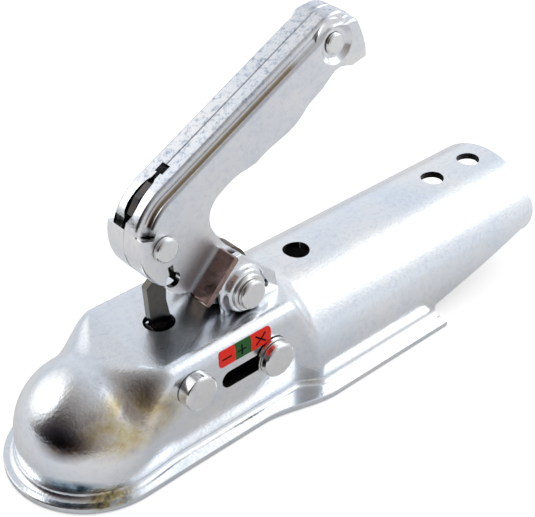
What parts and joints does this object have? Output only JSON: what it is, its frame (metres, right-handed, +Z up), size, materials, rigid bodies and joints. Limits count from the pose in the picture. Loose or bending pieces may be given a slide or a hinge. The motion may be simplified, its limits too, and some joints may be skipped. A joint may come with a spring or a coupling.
{
  "type": "trailer coupling head",
  "caption": "Pressed steel trailer coupling head with a ball socket, a lever handle with a safety catch, a sliding lock indicator and a half-round saddle for a round drawbar tube.",
  "frame": {"origin": "centre of the coupled ball, on the middle plane of the head", "axes": "+X forward towards the nose and the towing vehicle, +Y to the left, +Z up"},
  "size_m": [0.2624, 0.0816, 0.1486],
  "materials": {
    "zinc_sheet": "pressed steel sheet, bright zinc plated",
    "bright_pins": "turned steel pins, rivets and washers, bright zinc plated",
    "lock_castings": "cast parts of the lock, lightly oiled",
    "spring_steel": "dark spring steel",
    "label": "stuck-on film in red, green and red fields"
  },
  "bodies": {
    "head": {"housing": "zinc_sheet", "hinge_bolt": "bright_pins", "hinge_washers": "bright_pins", "jaw_pin": "bright_pins", "jaw_spacers": "bright_pins", "jaw_spring": "spring_steel", "pressure_spring": "spring_steel", "spring_guide": "bright_pins", "spring_bracket": "zinc_sheet", "indicator_label": "label"},
    "handle": {"handle_left": "zinc_sheet", "handle_right": "zinc_sheet", "drive_cam": "lock_castings", "hinge_bushes": "bright_pins", "catch_rivet": "bright_pins", "catch_spring": "spring_steel", "tip_rivet": "bright_pins", "tip_spacer": "bright_pins"},
    "catch": {"safety_catch": "spring_steel"},
    "slider": {"lock_slider": "lock_castings", "indicator_pin": "bright_pins", "indicator_washers": "bright_pins"},
    "jaw": {"ball_jaw": "lock_castings"}
  },
  "joints": [
    {"name": "handle_hinge", "type": "hinge", "parent": "head", "child": "handle", "pos_m": [-0.064, 0, 0.0413], "axis": [0, -1, 0], "range_deg": [0, 27.4]},
    {"name": "catch_hinge", "type": "hinge", "parent": "handle", "child": "catch", "pos_m": [-0.03148, 0, 0.07231], "axis": [0, 1, 0], "range_deg": [-2.5, 2.5], "stiffness_Nm_per_rad": 0.5},
    {"name": "lock_slide", "type": "slide", "parent": "head", "child": "slider", "axis": [1, 0, 0], "range_m": [0, 0.0134]},
    {"name": "jaw_hinge", "type": "hinge", "parent": "head", "child": "jaw", "pos_m": [-0.0285, 0, 0.02], "axis": [0, -1, 0], "range_deg": [0, 8]}
  ],
  "couplings": [
    {"joint": "lock_slide", "follows": "handle_hinge", "m_per_rad": 0.028},
    {"joint": "jaw_hinge", "follows": "handle_hinge", "ratio": 0.2919}
  ]
}
